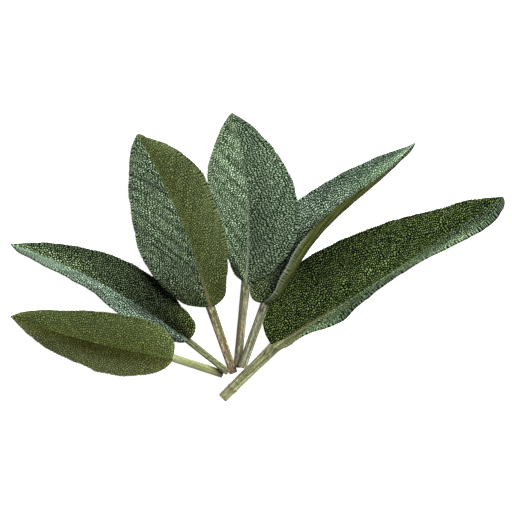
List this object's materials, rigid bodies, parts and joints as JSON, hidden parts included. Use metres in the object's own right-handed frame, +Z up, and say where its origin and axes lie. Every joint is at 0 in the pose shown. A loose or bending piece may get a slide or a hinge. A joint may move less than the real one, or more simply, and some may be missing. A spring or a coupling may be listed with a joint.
{
  "type": "sage sprig",
  "caption": "Fan of picked sage leaves lying on their midribs with their stalk ends together, for kitchen, food and garden scenes.",
  "frame": {"origin": "centre of the bounding box on the table that the leaves lie on", "axes": "+X across the fan towards the tip of the longest leaf, +Y from the stalk ends towards the tip of the middle leaf, +Z up from the table"},
  "size_m": [0.118, 0.0691, 0.0144],
  "materials": {
    "leaf_1_blade": "matte olive green, finely pebbled, softly hairy",
    "leaf_2_blade": "matte dark green, pebbled, silvery where seen at a slant",
    "leaf_3_blade": "matte grey green, pebbled, silvery where seen at a slant",
    "leaf_4_blade": "matte grey green, pebbled, silvery where seen at a slant",
    "leaf_5_blade": "matte blue green, pebbled, olive underneath",
    "leaf_6_blade": "matte deep green, pebbled, silvery where seen at a slant",
    "stalk": "pale tan green, grooved lengthwise, finely hairy, flecked with brown purple"
  },
  "bodies": {
    "root": {"leaf_1_blade": "leaf_1_blade", "leaf_1_stalk": "stalk", "leaf_2_blade": "leaf_2_blade", "leaf_2_stalk": "stalk", "leaf_3_blade": "leaf_3_blade", "leaf_3_stalk": "stalk", "leaf_4_blade": "leaf_4_blade", "leaf_4_stalk": "stalk", "leaf_5_blade": "leaf_5_blade", "leaf_5_stalk": "stalk", "leaf_6_blade": "leaf_6_blade", "leaf_6_stalk": "stalk"}
  },
  "joints": []
}
